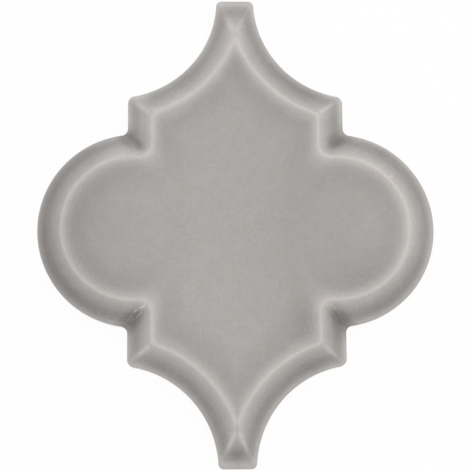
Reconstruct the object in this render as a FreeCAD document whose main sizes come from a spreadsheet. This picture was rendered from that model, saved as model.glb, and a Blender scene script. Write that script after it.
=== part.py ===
import FreeCAD, Part
import math
import os
import Sketcher

# A bevelled arabesque wall tile, pressed and fired as one piece of glazed ceramic.
# The origin is on the back, at the middle of the outline. +Y runs towards a spire's end,
# +X across the lobes and +Z out of the glazed face. The tile is the same in all four
# quarters, so one quarter, at -X and -Y, is drawn and mirrored twice.

NODE = "arabesque_tile"

# Driving dimensions in millimetres, and one angle: alias, value, what it measures
DRIVING = [
    ("tile_width", 150.0, "across both lobes"),
    ("tile_height", 179.2, "from one spire's end to the other"),
    ("spire_width", 14.2, "flat end of a spire"),
    ("lobe_radius", 36.8, "round side lobe, in plan"),
    ("joint_width", 2.0, "grout joint that a bay leaves around a neighbour's lobe"),
    ("end_joint", 0.6, "grout joint between the ends of two spires in line"),
    ("thickness", 10.0, "back to face"),
    ("rim_height", 5.6, "back to where the bevel would meet the wall"),
    ("bevel_width", 9.2, "wall to where the bevel would meet the face"),
    ("spire_rim_height", 5.3, "rim height at the end of a spire"),
    ("spire_bevel_width", 14.5, "bevel width at the end of a spire"),
    ("rim_round", 1.2, "wall into bevel"),
    ("ridge_round", 5.0, "bevel into face"),
    ("ridge_slope", 10.0, "degrees that the ridge still slopes where it runs out on the face"),
    ("shoulder_round", 2.4, "shoulder corner, in plan"),
    ("spire_round", 2.0, "spire corner, in plan"),
    ("nook_round", 2.4, "inner corner between lobe and shoulder, in plan"),
    ("foot_chamfer", 0.6, "arris around the back"),
    ("key_width", 6.0, "bedding groove in the back"),
    ("key_pitch", 14.0, "from one bedding groove to the next"),
    ("key_depth", 0.7, "bedding groove, from the back"),
    ("key_margin", 10.0, "plain back left around the bedding grooves"),
]

# Values that follow from the driving dimensions. A neighbour's lobe sits in each bay with the
# joint around it, and the step is halfway between the lobe's centre and the bay's.
DERIVED = [
    ("half_height", "Driving.tile_height / 2"),
    ("lobe_x", "Driving.tile_width / 2 - Driving.lobe_radius"),
    ("bay_radius", "Driving.lobe_radius + Driving.joint_width"),
    ("bay_x", "Driving.spire_width / 2 + bay_radius"),
    ("bay_y", "(Driving.tile_height + Driving.end_joint) / 2"),
    ("step_x", "(lobe_x + bay_x - Driving.joint_width) / 2"),
    ("shoulder_y", "bay_y - sqrt(bay_radius ^ 2 - (bay_x - step_x) ^ 2)"),
    ("nook_y", "sqrt(Driving.lobe_radius ^ 2 - (step_x - lobe_x) ^ 2)"),
    ("spire_half", "bay_x - sqrt(bay_radius ^ 2 - (bay_y - half_height) ^ 2)"),
    ("ridge_lean", "Driving.ridge_round * sin(Driving.ridge_slope)"),
    ("cutter_room", "Driving.bevel_width / 2"),
    ("cutter_top", "Driving.thickness + cutter_room"),
]

# The sizes that shape an edge, its rim's height and its bevel's width, all round and at a spire's end
EDGE = ("rim_height", "bevel_width")
SPIRE_EDGE = ("spire_rim_height", "spire_bevel_width")

# Ends of a sketched line or arc, and the sketch's own origin, as constraints number them
START, END, CENTRE = 1, 2, 3
ORIGIN = -1

# Turns of a revolved section, in degrees
FULL_TURN = 360
HALF_TURN = 180

# The first bedding groove stands this share of a pitch from the middle
FIRST_KEY = 0.5

# Two points closer than this are the same place when an edge is looked up
NEAR = 0.01


class Sizes:
    """Both sheets' values as plain numbers, for the sketches' first positions."""

    def __init__(self, driving, derived):
        for sheet, cells in ((driving, DRIVING), (derived, DERIVED)):
            for cell in cells:
                setattr(self, cell[0], float(getattr(sheet, cell[0])))


def add_sheet(doc, name, cells):
    sheet = doc.addObject("Spreadsheet::Sheet", name)
    for row, (alias, content) in enumerate(cells, start=1):
        sheet.set(f"A{row}", alias)
        sheet.set(f"B{row}", content)
        sheet.setAlias(f"B{row}", alias)
    doc.recompute()
    return sheet


def origin_plane(body, role):
    return next(item for item in body.Origin.OriginFeatures if item.Role == role)


def add_sketch(body, name, role, offset_x=None, offset_z=None):
    """A sketch on one of the body's planes, moved in x and along its normal by the sheets."""
    sketch = body.newObject("Sketcher::SketchObject", name)
    sketch.AttachmentSupport = [(origin_plane(body, role), "")]
    sketch.MapMode = "FlatFace"
    if offset_x:
        sketch.setExpression(".AttachmentOffset.Base.x", offset_x)
    if offset_z:
        sketch.setExpression(".AttachmentOffset.Base.z", offset_z)
    return sketch


def add_line(sketch, start, end, construction=False):
    segment = Part.LineSegment(FreeCAD.Vector(*start, 0), FreeCAD.Vector(*end, 0))
    return sketch.addGeometry(segment, construction)


def add_arc(sketch, centre, radius, start_angle, end_angle):
    circle = Part.Circle(FreeCAD.Vector(*centre, 0), FreeCAD.Vector(0, 0, 1), radius)
    return sketch.addGeometry(Part.ArcOfCircle(circle, start_angle, end_angle), False)


def rule(sketch, kind, *places):
    sketch.addConstraint(Sketcher.Constraint(kind, *places))


def add_run(sketch, *points):
    """A square-cornered run of lines through the points, each kept level or upright."""
    lines = []
    for start, end in zip(points, points[1:]):
        line = add_line(sketch, start, end)
        rule(sketch, "Vertical" if start[0] == end[0] else "Horizontal", line)
        if lines:
            rule(sketch, "Coincident", lines[-1], END, line, START)
        lines.append(line)
    return lines


def measure(sketch, expression, kind, *places):
    """Add a dimension to the sketch and tie it to the sheets."""
    index = sketch.addConstraint(Sketcher.Constraint(kind, *places))
    sketch.setExpression(f"Constraints[{index}]", expression)


def draw_edge(sketch, sizes, wall, wall_expression, names):
    """The tile's edge in section: rounded rim, straight bevel and rounded ridge.

    The wall is at x = -wall and the inside of the tile is towards +x.
    Returns the rim's and the ridge's arcs, the wall's top and the ridge's end on the face.
    """
    rim_name, bevel_name = names
    rim_height = getattr(sizes, rim_name)
    run = getattr(sizes, bevel_name)
    slope = math.atan2(sizes.thickness - rim_height, run)
    across, up = math.cos(slope), math.sin(slope)
    rim_reach = sizes.rim_round * math.tan((math.pi / 2 - slope) / 2)
    wall_top = (-wall, rim_height - rim_reach)
    rim_centre = (sizes.rim_round - wall, wall_top[1])
    bevel_start = (rim_reach * across - wall, rim_height + rim_reach * up)
    run_out = math.asin(sizes.ridge_lean / sizes.ridge_round)
    ridge_depth = sizes.ridge_round * math.cos(run_out)
    ridge_x = run - wall + (sizes.ridge_round - ridge_depth * across) / up
    ridge_centre = (ridge_x, sizes.thickness - ridge_depth)
    ridge_end = (ridge_x - sizes.ridge_lean, sizes.thickness)
    bevel_end = (ridge_x - sizes.ridge_round * up, ridge_centre[1] + sizes.ridge_round * across)
    upright = math.pi / 2

    rim = add_arc(sketch, rim_centre, sizes.rim_round, upright + slope, math.pi)
    bevel = add_line(sketch, bevel_start, bevel_end)
    ridge = add_arc(sketch, ridge_centre, sizes.ridge_round, upright + run_out, upright + slope)
    guide = add_line(sketch, (-wall, rim_height), (run - wall, sizes.thickness), True)

    rule(sketch, "Tangent", rim, START, bevel, START)
    rule(sketch, "Tangent", bevel, END, ridge, END)
    rule(sketch, "Horizontal", rim, END, rim, CENTRE)
    rule(sketch, "Vertical", rim, END, guide, START)
    rule(sketch, "Horizontal", ridge, START, guide, END)
    rule(sketch, "PointOnObject", bevel, START, guide)
    rule(sketch, "PointOnObject", bevel, END, guide)
    measure(sketch, wall_expression, "DistanceX", guide, START, ORIGIN, START, wall)
    measure(sketch, f"Driving.{rim_name}", "DistanceY", ORIGIN, START, guide, START, rim_height)
    measure(sketch, "Driving.thickness", "DistanceY", ORIGIN, START, guide, END, sizes.thickness)
    measure(sketch, f"Driving.{bevel_name}", "DistanceX", guide, START, guide, END, run)
    measure(sketch, "Driving.rim_round", "Radius", rim, sizes.rim_round)
    measure(sketch, "Driving.ridge_round", "Radius", ridge, sizes.ridge_round)
    measure(sketch, "Derived.ridge_lean", "DistanceX", ridge, START, ridge, CENTRE, sizes.ridge_lean)
    return rim, ridge, wall_top, ridge_end


def draw_edge_cutter(sketch, sizes, wall, wall_expression, names=EDGE):
    """What is cut away above the edge, closed on the open side."""
    rim, ridge, wall_top, ridge_end = draw_edge(sketch, sizes, wall, wall_expression, names)
    outside = wall_top[0] - sizes.cutter_room
    above = (ridge_end[0], sizes.cutter_top)
    far_above = (outside, sizes.cutter_top)
    rise, _, back, shelf = add_run(sketch, ridge_end, above, far_above, (outside, wall_top[1]), wall_top)
    rule(sketch, "Coincident", ridge, START, rise, START)
    rule(sketch, "Coincident", shelf, END, rim, END)
    measure(sketch, "Derived.cutter_room", "DistanceX", shelf, START, shelf, END, sizes.cutter_room)
    measure(sketch, "Derived.cutter_top", "DistanceY", ORIGIN, START, back, START, sizes.cutter_top)


def draw_lobe_half(sketch, sizes):
    """Half of the lobe's section, from its wall in to its axis at x = 0."""
    radius = sizes.lobe_radius
    rim, ridge, wall_top, ridge_end = draw_edge(sketch, sizes, radius, "Driving.lobe_radius", EDGE)
    face, axis, _, side = add_run(
        sketch, ridge_end, (0, sizes.thickness), (0, 0), (-radius, 0), wall_top
    )
    rule(sketch, "Coincident", ridge, START, face, START)
    rule(sketch, "Coincident", axis, END, ORIGIN, START)
    rule(sketch, "Coincident", side, END, rim, END)


def draw_quarter_outline(sketch, sizes):
    """The quarter without its lobe: half a spire's end, one bay and the straight side."""
    corner = (-sizes.spire_half, -sizes.half_height)
    shoulder = (-sizes.step_x, -sizes.shoulder_y)
    bay_centre = (-sizes.bay_x, -sizes.bay_y)
    spire_angle = math.atan2(corner[1] - bay_centre[1], corner[0] - bay_centre[0])
    shoulder_angle = math.atan2(shoulder[1] - bay_centre[1], shoulder[0] - bay_centre[0])
    bay = add_arc(sketch, bay_centre, sizes.bay_radius, spire_angle, shoulder_angle)
    side, across, along, spire_end = add_run(
        sketch, shoulder, (shoulder[0], 0), (0, 0), (0, corner[1]), corner
    )
    rule(sketch, "Coincident", bay, END, side, START)
    rule(sketch, "Coincident", across, END, ORIGIN, START)
    rule(sketch, "Coincident", spire_end, END, bay, START)
    measure(sketch, "Derived.bay_radius", "Radius", bay, sizes.bay_radius)
    measure(sketch, "Derived.bay_x", "DistanceX", bay, CENTRE, ORIGIN, START, sizes.bay_x)
    measure(sketch, "Derived.bay_y", "DistanceY", bay, CENTRE, ORIGIN, START, sizes.bay_y)
    measure(sketch, "Derived.step_x", "DistanceX", side, END, ORIGIN, START, sizes.step_x)
    measure(sketch, "Derived.half_height", "DistanceY", along, END, ORIGIN, START, sizes.half_height)


def recompute(doc, feature, before=None, grows=True):
    """Rebuild, and make sure that a cut took volume away or that an addition added some."""
    doc.recompute()
    if feature.Shape.isNull() or not feature.Shape.isValid():
        raise RuntimeError(f"{feature.Name} has no valid shape")
    if before is not None and (feature.Shape.Volume > before.Shape.Volume) != grows:
        raise RuntimeError(f"{feature.Name} works on the wrong side")
    return feature


def upright_edge(shape, x, y):
    """Name of the upright wall edge at a place of the plan."""
    for number, edge in enumerate(shape.Edges, start=1):
        ends = [vertex.Point for vertex in edge.Vertexes]
        if all(math.hypot(point.x - x, point.y - y) < NEAR for point in ends) and len(ends) == 2:
            return f"Edge{number}"
    raise RuntimeError(f"no upright edge at {x:.2f}, {y:.2f}")


def round_corner(doc, body, name, before, x, y, expression):
    fillet = body.newObject("PartDesign::Fillet", name)
    fillet.Base = (before, [upright_edge(before.Shape, x, y)])
    fillet.setExpression("Radius", expression)
    return recompute(doc, fillet)


def build_quarter(doc, body, sizes):
    outline = add_sketch(body, "quarter_outline", "XY_Plane")
    draw_quarter_outline(outline, sizes)
    blank = body.newObject("PartDesign::Pad", "quarter_blank")
    blank.Profile = outline
    blank.setExpression("Length", "Driving.thickness")
    recompute(doc, blank)

    shoulder = round_corner(
        doc, body, "shoulder_corner", blank, -sizes.step_x, -sizes.shoulder_y, "Driving.shoulder_round"
    )
    spire = round_corner(
        doc, body, "spire_corner", shoulder, -sizes.spire_half, -sizes.half_height, "Driving.spire_round"
    )

    bay_section = add_sketch(body, "bay_edge", "XZ_Plane", "-Derived.bay_x", "Derived.bay_y")
    draw_edge_cutter(bay_section, sizes, -sizes.bay_radius, "-Derived.bay_radius")
    bay_bevel = body.newObject("PartDesign::Groove", "bay_bevel")
    bay_bevel.Profile = bay_section
    bay_bevel.ReferenceAxis = (bay_section, ["V_Axis"])
    bay_bevel.Angle = FULL_TURN
    recompute(doc, bay_bevel, spire, grows=False)

    spire_section = add_sketch(body, "spire_edge", "YZ_Plane")
    draw_edge_cutter(spire_section, sizes, sizes.half_height, "Derived.half_height", SPIRE_EDGE)
    spire_bevel = body.newObject("PartDesign::Pocket", "spire_bevel")
    spire_bevel.Profile = spire_section
    spire_bevel.Type = "ThroughAll"
    recompute(doc, spire_bevel, bay_bevel, grows=False)

    step_section = add_sketch(body, "step_edge", "XZ_Plane")
    draw_edge_cutter(step_section, sizes, sizes.step_x, "Derived.step_x")
    step_bevel = body.newObject("PartDesign::Pocket", "step_bevel")
    step_bevel.Profile = step_section
    step_bevel.Type = "ThroughAll"
    step_bevel.Reversed = True
    recompute(doc, step_bevel, spire_bevel, grows=False)

    lobe_section = add_sketch(body, "lobe_edge", "XZ_Plane", "-Derived.lobe_x")
    draw_lobe_half(lobe_section, sizes)
    lobe = body.newObject("PartDesign::Revolution", "lobe_half")
    lobe.Profile = lobe_section
    lobe.ReferenceAxis = (lobe_section, ["V_Axis"])
    lobe.Angle = HALF_TURN
    recompute(doc, lobe, step_bevel)
    return round_corner(
        doc, body, "nook_corner", lobe, -sizes.step_x, -sizes.nook_y, "Driving.nook_round"
    )


def mirror(doc, body, name, before, role):
    """The shape so far with its mirror image on the other side of one of the body's planes."""
    mirrored = body.newObject("PartDesign::Mirrored", name)
    mirrored.TransformMode = "Whole shape"
    mirrored.MirrorPlane = (origin_plane(body, role), [""])
    mirrored.Refine = True
    body.Tip = mirrored
    return recompute(doc, mirrored, before)


def chamfer_foot(doc, body, before):
    """Take the sharp arris off the edge where the walls meet the back."""
    names = []
    for number, edge in enumerate(before.Shape.Edges, start=1):
        if all(abs(vertex.Point.z) < NEAR for vertex in edge.Vertexes):
            names.append(f"Edge{number}")
    chamfer = body.newObject("PartDesign::Chamfer", "foot_arris")
    chamfer.Base = (before, names)
    chamfer.setExpression("Size", "Driving.foot_chamfer")
    return recompute(doc, chamfer, before, grows=False)


def key_reach(sizes, number):
    """Where a bedding groove's round end is centred: a formula for the sheets, and its value.

    A groove ends at the bay where it passes clear of the step, and else at the lobe.
    """
    share = number + FIRST_KEY
    x = share * sizes.key_pitch
    room = sizes.key_margin + sizes.key_width / 2
    if x + room < sizes.step_x:
        formula = (
            "Derived.bay_y - sqrt((Derived.bay_radius + Driving.key_margin + Driving.key_width / 2) ^ 2"
            f" - (Derived.bay_x - {share} * Driving.key_pitch) ^ 2)"
        )
        square = (sizes.bay_radius + room) ** 2 - (sizes.bay_x - x) ** 2
        return formula, sizes.bay_y - math.sqrt(max(square, 0))
    formula = (
        "sqrt((Driving.lobe_radius - Driving.key_margin - Driving.key_width / 2) ^ 2"
        f" - ({share} * Driving.key_pitch - Derived.lobe_x) ^ 2)"
    )
    square = (sizes.lobe_radius - room) ** 2 - (x - sizes.lobe_x) ** 2
    return formula, math.sqrt(max(square, 0))


def draw_key(sketch, sizes, number, formula, reach):
    """One bedding groove along Y with round ends."""
    share = number + FIRST_KEY
    x = share * sizes.key_pitch
    radius = sizes.key_width / 2
    upper = add_arc(sketch, (x, reach), radius, 0, math.pi)
    left = add_line(sketch, (x - radius, reach), (x - radius, -reach))
    lower = add_arc(sketch, (x, -reach), radius, math.pi, 2 * math.pi)
    right = add_line(sketch, (x + radius, -reach), (x + radius, reach))
    rule(sketch, "Tangent", upper, END, left, START)
    rule(sketch, "Tangent", left, END, lower, START)
    rule(sketch, "Tangent", lower, END, right, START)
    rule(sketch, "Tangent", right, END, upper, START)
    rule(sketch, "Equal", upper, lower)
    rule(sketch, "Symmetric", upper, CENTRE, lower, CENTRE, ORIGIN)
    measure(sketch, "Driving.key_width / 2", "Radius", upper, radius)
    measure(sketch, f"{share} * Driving.key_pitch", "DistanceX", ORIGIN, START, upper, CENTRE, x)
    measure(sketch, formula, "DistanceY", ORIGIN, START, upper, CENTRE, reach)


def cut_keys(doc, body, sizes, before):
    """Shallow grooves in the back for the adhesive, inside a plain margin."""
    sketch = add_sketch(body, "key_outlines", "XY_Plane")
    for number in range(int(sizes.tile_width / 2 // sizes.key_pitch)):
        formula, reach = key_reach(sizes, number)
        if reach > sizes.key_width:
            draw_key(sketch, sizes, number, formula, reach)
    keys = body.newObject("PartDesign::Pocket", "keys")
    keys.Profile = sketch
    keys.Reversed = True
    keys.setExpression("Length", "Driving.key_depth")
    recompute(doc, keys, before, grows=False)
    both = body.newObject("PartDesign::Mirrored", "keys_both_sides")
    both.Originals = [keys]
    both.MirrorPlane = (origin_plane(body, "YZ_Plane"), [""])
    body.Tip = both
    return recompute(doc, both, keys, grows=False)


def check(doc, body):
    """Every step has to be in order, and the tile one sound solid."""
    for item in doc.Objects:
        if "Invalid" in item.State or "Error" in item.State:
            raise RuntimeError(f"{item.Name} failed: {item.State}")
    shape = body.Shape
    if shape.isNull() or not shape.isValid() or len(shape.Solids) != 1:
        raise RuntimeError("the tile isn't one valid solid")


def main():
    doc = FreeCAD.newDocument("ArabesqueTile")
    driving = add_sheet(doc, "Driving", [(alias, str(value)) for alias, value, note in DRIVING])
    derived = add_sheet(doc, "Derived", [(alias, f"={formula}") for alias, formula in DERIVED])
    sizes = Sizes(driving, derived)
    body = doc.addObject("PartDesign::Body", NODE)
    body.Label = NODE
    body.Placement = FreeCAD.Placement()
    quarter = build_quarter(doc, body, sizes)
    half = mirror(doc, body, "half_tile", quarter, "XZ_Plane")
    whole = mirror(doc, body, "whole_tile", half, "YZ_Plane")
    foot = chamfer_foot(doc, body, whole)
    cut_keys(doc, body, sizes, foot)
    check(doc, body)
    os.makedirs("parts", exist_ok=True)
    body.Shape.exportStep(f"parts/{body.Label}.step")
    box = body.Shape.optimalBoundingBox()
    print(f"{body.Label}: {box.XLength:.2f} x {box.YLength:.2f} x {box.ZLength:.2f} mm,", end=" ")
    print(f"{body.Shape.Volume / 1000:.1f} cubic centimetres")


main()
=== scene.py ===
import math

import bmesh
import bpy
import numpy as np
from bpy.props import FloatProperty, FloatVectorProperty, PointerProperty
from bpy.types import Operator, Panel, PropertyGroup
from mathutils import Matrix, Quaternion, Vector


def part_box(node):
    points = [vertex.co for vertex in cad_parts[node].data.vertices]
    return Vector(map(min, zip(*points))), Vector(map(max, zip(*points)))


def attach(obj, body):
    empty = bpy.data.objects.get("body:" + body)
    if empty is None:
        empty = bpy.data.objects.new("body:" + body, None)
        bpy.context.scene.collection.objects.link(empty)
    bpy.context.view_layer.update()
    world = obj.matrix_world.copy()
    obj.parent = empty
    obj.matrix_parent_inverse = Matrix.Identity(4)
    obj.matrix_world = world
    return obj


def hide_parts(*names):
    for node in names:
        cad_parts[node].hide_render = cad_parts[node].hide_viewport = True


bl_info = {
    "name": "Arabesque Tile",
    "version": (1, 0, 0),
    "blender": (4, 5, 0),
    "location": "3D View, sidebar, Tile tab",
    "description": "A bevelled arabesque wall tile in glazed ceramic, and a plain studio for it",
    "category": "Add Mesh",
}

NODE = "arabesque_tile"
BODY = "root"
PIECE = "glazed_tile"

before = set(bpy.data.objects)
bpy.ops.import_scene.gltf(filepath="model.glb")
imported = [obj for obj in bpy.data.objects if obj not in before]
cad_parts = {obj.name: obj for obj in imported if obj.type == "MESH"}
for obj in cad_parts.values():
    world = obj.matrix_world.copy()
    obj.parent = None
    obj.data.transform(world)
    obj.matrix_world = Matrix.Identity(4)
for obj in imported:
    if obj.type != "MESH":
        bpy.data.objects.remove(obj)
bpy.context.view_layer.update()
TILE_LOW, TILE_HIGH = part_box(NODE)
TILE_WIDTH, TILE_HEIGHT, TILE_THICKNESS = TILE_HIGH - TILE_LOW

# Columns of the mesh in one quarter of the outline, and rows across each stretch of the section
QUARTER_COLUMNS = 340
RIM_ROWS = 7
BEVEL_ROWS = 13
RIDGE_ROWS = 17
FACE_ROWS = 12
FOOT_ROWS = 4
BACK_ROWS = 5

# Points tried along the outline for each column, and how much closer the columns are at a corner
TRIED_POINTS = 20
CORNER_CROWDING = 2.5

# Inner ends of the columns: below a spire's end in its bevel's widths, then in shares of the lobe's place
INNER_TOP = 0.92
INNER_SHARES = (0.0, 0.15, 0.40, 0.90, 1.0)

# The search along a column: its start, outside the outline, and how often it halves
SEARCH_START = -0.15
HALVINGS = 42

# The ridge's rows: how far before and past the ridge they go, and how much of a narrow spire they fill
RIDGE_LEAD = 2
PAST_RIDGE = 1.1
NARROW_SHARE = 0.97

# The wall's rows: up the glaze, over the glaze's edge in its thicknesses, and over the foot's arris
WALL_MIDDLE = 0.55
GLAZE_EDGE_ROWS = (2.2, 0.7)
GLAZE_EDGE_SET_BACK = 0.35
FOOT_START = 1.1

# Points nearer than this become one, and edges sharper than this stay sharp
MERGE_GAP = 1e-6
SHARP_ANGLE = math.radians(38)

# A bedding groove's sides, and its levels in depths with the draft there in half widths
GROOVE_SIDES = 48
GROOVE_LEVELS = (-1.0, 0.0, 0.75, 1.0)
GROOVE_DRAFT = (0.0, 0.0, 0.10, 0.22)

# Sine waves in one ripple, and the range of their lengths
RIPPLE_WAVES = 7
RIPPLE_LENGTHS = (0.7, 1.4)

# Seeds of the ripples, and how many fit across the face and in a lobe's radius
FACE_SEED = 11
FACE_RIPPLES = 6
GLAZE_LINE_SEED = 37
GLAZE_LINE_RIPPLES = 2

# Names of the values that each point of the mesh carries for the glaze: its depth with painted light and
# shade on it, and the distance in from the edge
DEPTH_AND_LIGHT_VALUE = "glaze_depth_and_light"
EDGE_VALUE = "edge_distance"

# Depths at which the glaze has its even, pooled and deep colours; the deep colour is partly glaze pooled in
# the inner corners and partly painted shade there
EVEN_DEPTH = 0.5
POOLED_DEPTH = 1.0
DEEPEST_GLAZE = 1.4

# Glaze depth over the edge's section: an inward place in bevel widths, and the depth there
GLAZE_SECTION = (
    (0.0, 0.43),
    (0.05, 0.37),
    (0.18, 0.72),
    (0.32, 0.88),
    (0.45, 0.84),
    (0.60, 0.67),
    (0.80, 0.46),
    (0.96, 0.29),
    (1.04, 0.00),
    (1.12, 0.19),
    (1.28, 0.44),
    (1.50, 0.62),
    (1.75, 0.64),
    (2.05, 0.59),
    (2.35, 0.535),
    (2.75, 0.51),
)

# The glaze pattern sits a little off the section, towards the upper left, as painted light: it moves the
# pale ridge lines and dark bands as the light from the right does: the offset in plan
GLAZE_LIGHT_SHIFT = (-0.0003, 0.0002)

# Thin glaze along the hips: its share, its spread, and its start over the run
HIP_THINNING = 0.65
HIP_SPREAD = 0.0005
HIP_START, HIP_FULL = 0.0, 0.60

# Where the hips' thin glaze ends: below the face, and beside a lobe
HIP_END, HIP_FADE = 0.0002, 0.0010
HIP_LOBE_GAP = 0.0008

# Pools along the valleys, partly pooled glaze and partly painted shade in the inner corners, set off the
# crease in the upper nooks where the shade falls: their depth, spread, offset in the upper nooks, and end
# over the run
VALLEY_POOLING_AND_SHADE = 0.60
VALLEY_SPREAD = 0.0018
VALLEY_OFFSET = 0.0004
VALLEY_FADE, VALLEY_END = 0.45, 1.08

# A valley's rounding at the rim, as a share of its rounding at the face
VALLEY_FOOT = 0.35

# Thinner glaze on the open face, and its reach in lobe radii and half heights
FACE_THINNING = 0.06
FACE_REACH = 0.8

# Thinner glaze on the face inside the nooks: its depth, its spread, and its start and end over the run
INNER_FACE_THINNING = 0.10
INNER_FACE_SPREAD = 0.0045
INNER_FACE_START, INNER_FACE_FULL = 1.15, 1.50
INNER_FACE_FADE, INNER_FACE_END = 1.80, 2.40

# Thinner glaze round the outer corners: its depth, its reach, and how far inside a shoulder it centres
CORNER_THINNING = 0.17
CORNER_REACH = 0.0055
CORNER_INSET = (0.003, 0.002)

# Where the hips' pale lines are faint: a place in plan, its reach, and the share that is lost there
FAINT_HIPS = {
    "upper spire's end": (0.0, 0.0835, 0.0070, 0.80),
    "upper right shoulder": (0.0400, 0.0505, 0.0050, 0.75),
}

# Where the glaze depth is changed in patches, partly uneven glaze and partly painted light and shade where
# the lamps and reflections fall unevenly: a place in plan, its reach, and the change of depth there
GLAZE_DRIFT_AND_PAINTED_LIGHT = {
    # Painted light: the upper left step is made lighter, as a light there falls more strongly
    "upper left step": (-0.040, 0.0405, 0.0065, -0.30),
    # Painted shade and light round the window's reflection in the upper left nook: darker where the bevel
    # shows no reflection, lighter along the valley
    "upper left nook's lobe side": (-0.0368, 0.0302, 0.0022, 0.26),
    "upper left valley": (-0.0375, 0.0345, 0.0022, -0.26),
    "upper left nook's rim": (-0.0415, 0.0350, 0.0025, 0.15),
    "upper left bay's rim": (-0.017, 0.068, 0.012, -0.11),
    "upper right shoulder": (0.036, 0.0480, 0.006, -0.11),
    "upper right nook": (0.0405, 0.0355, 0.0030, -0.20),
    "upper left bay by the shoulder": (-0.029, 0.0475, 0.006, 0.07),
    "upper left shoulder's hip": (-0.0325, 0.0472, 0.0025, 0.12),
    # Painted shade: darker low on the left lobe, whose bevel faces away from the key light
    "left lobe's lower rim": (-0.066, -0.036, 0.014, 0.14),
    "lower right bay": (0.028, -0.052, 0.007, 0.07),
    "lower right nook": (0.044, -0.032, 0.007, -0.11),
    "lower left step": (-0.041, -0.043, 0.010, -0.12),
    "right lobe's top": (0.047, 0.033, 0.011, -0.16),
    "upper spire's left side": (-0.010, 0.075, 0.013, -0.15),
    "right lobe": (0.066, -0.004, 0.026, -0.08),
    "face, left of the middle": (-0.024, 0.012, 0.022, -0.05),
    "face, right lobe's lower part": (0.046, -0.015, 0.011, 0.08),
    "face, right of the middle": (0.030, 0.006, 0.022, 0.05),
    "face, lower left of the middle": (-0.018, -0.022, 0.014, -0.06),
    "face, left lobe": (-0.056, 0.006, 0.011, 0.07),
    "face by the upper left shoulder": (-0.024, 0.044, 0.012, -0.05),
    "face by the lower right step": (0.0235, -0.036, 0.007, 0.13),
    "lower right step": (0.039, -0.038, 0.005, 0.12),
    "upper left shoulder": (-0.0360, 0.0508, 0.0045, -0.20),
    "face, upper end": (0.0005, 0.063, 0.005, 0.12),
    # Painted shade: darker at the left lobe's rim, which faces away from the key light
    "left lobe's rim": (-0.084, -0.016, 0.020, 0.17),
    # Painted light: lighter at the lower end of the face, where the light from above leaves it darker
    "face, lower end": (0.0, -0.046, 0.022, -0.05),
    "upper spire's end": (0.0, 0.0815, 0.0050, -0.18),
    "lower spire": (0.0, -0.0785, 0.0065, -0.13),
    "lower spire's dark spot": (0.0, -0.0850, 0.0022, 0.20),
    # Painted highlight: a small bright glint on the right lobe's ridge
    "painted glint on the right lobe's ridge": (0.0591, 0.0194, 0.0005, -0.35),
}

# A hair of glaze that stayed between the two ridges of the lower spire
SPIRE_LINE_WIDTH = 0.00032
SPIRE_LINE_ENDS = (-0.0785, -0.0675)
SPIRE_LINE_FADE = 0.002
SPIRE_LINE_DEPTH = 0.20

# A painted glint in each lower nook, drawn as a loop of lighter, thinner glaze: its middle and half length
# over the run, and its loss on each side
GLINT_RUN = 0.58
GLINT_LENGTH = 0.28
GLINT_LIGHTENING = (0.45, 0.22)

# The loop across the valley: its half width, its line in half widths, and its offset from the valley
GLINT_WIDTH = 0.00058
GLINT_LINE = 0.30
GLINT_OFFSET = 0.0003

# The ripple that bends and breaks the loop's line
GLINT_WAVE = 0.0017
GLINT_SEED = 5
GLINT_BEND = 0.5
GLINT_BREAKS = 1.5

# Noises in the glaze and the clay
CLOUDS = {"Scale": 240.0, "Detail": 4.0, "Roughness": 0.8}
SPECKS = {"Scale": 900.0, "Detail": 3.0, "Roughness": 0.6}
LINES = {"Scale": 1.0, "Detail": 2.0, "Roughness": 0.6}
BLOOM = {"Scale": 130.0, "Detail": 4.0, "Roughness": 0.6}
PEEL = {"Scale": 260.0, "Detail": 2.0, "Roughness": 0.5}
GRAIN = {"Scale": 900.0, "Detail": 5.0, "Roughness": 0.65}
STAIN = {"Scale": 38.0, "Detail": 3.0, "Roughness": 0.5}

# Fine relief of the glaze and the clay
PEEL_BUMP = {"Strength": 0.12, "Distance": 0.0004}
GRAIN_BUMP = {"Strength": 0.5, "Distance": 0.0002}

# Run lines: how fast they change across the bevel and along it, and where they end in bevel widths
LINES_ACROSS = 14.0
LINES_ALONG = 60.0
LINES_FADE, LINES_END = 0.75, 1.0

# How the glaze and the clay shine, and the grain at which the clay is dark and pale
GLOSS_SWING = 0.3
GLAZE_IOR = 1.5
CLAY_ROUGHNESS = 0.92
DARK_GRAIN, PALE_GRAIN = 0.12, 0.30

# The floor's disc, just under the tile's back
FLOOR_RADIUS = 6.0
FLOOR_SIDES = 128
FLOOR_GAP = 0.0001
WHITE = (1.0, 1.0, 1.0, 1.0)

# Where the lights stand, and their sides, in metres
KEY_PLACE = (0.64, 0.30, 0.71)
KEY_SIDE = 1.00
WINDOW_PLACE = (-0.20, 0.82, 0.535)
WINDOW_SIDE = 0.36
PANE_PLACE = (-0.17, 0.84, 0.515)
PANE_SIDE = 0.10

# The picture's side in pixels, the camera's sensor in millimetres, and its nearest sight in metres
IMAGE_SIDE = 470
SENSOR = 36.0
NEAREST_SIGHT = 0.01


def length(name, description, default):
    return FloatProperty(
        name=name, description=description, default=default, min=0.0, unit="LENGTH", precision=5
    )


def colour(name, description, default):
    return FloatVectorProperty(
        name=name, description=description, default=default, size=3, min=0.0, max=1.0, subtype="COLOR"
    )


def share(name, description, default):
    return FloatProperty(
        name=name, description=description, default=default, min=0.0, max=1.0, subtype="FACTOR"
    )


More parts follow.
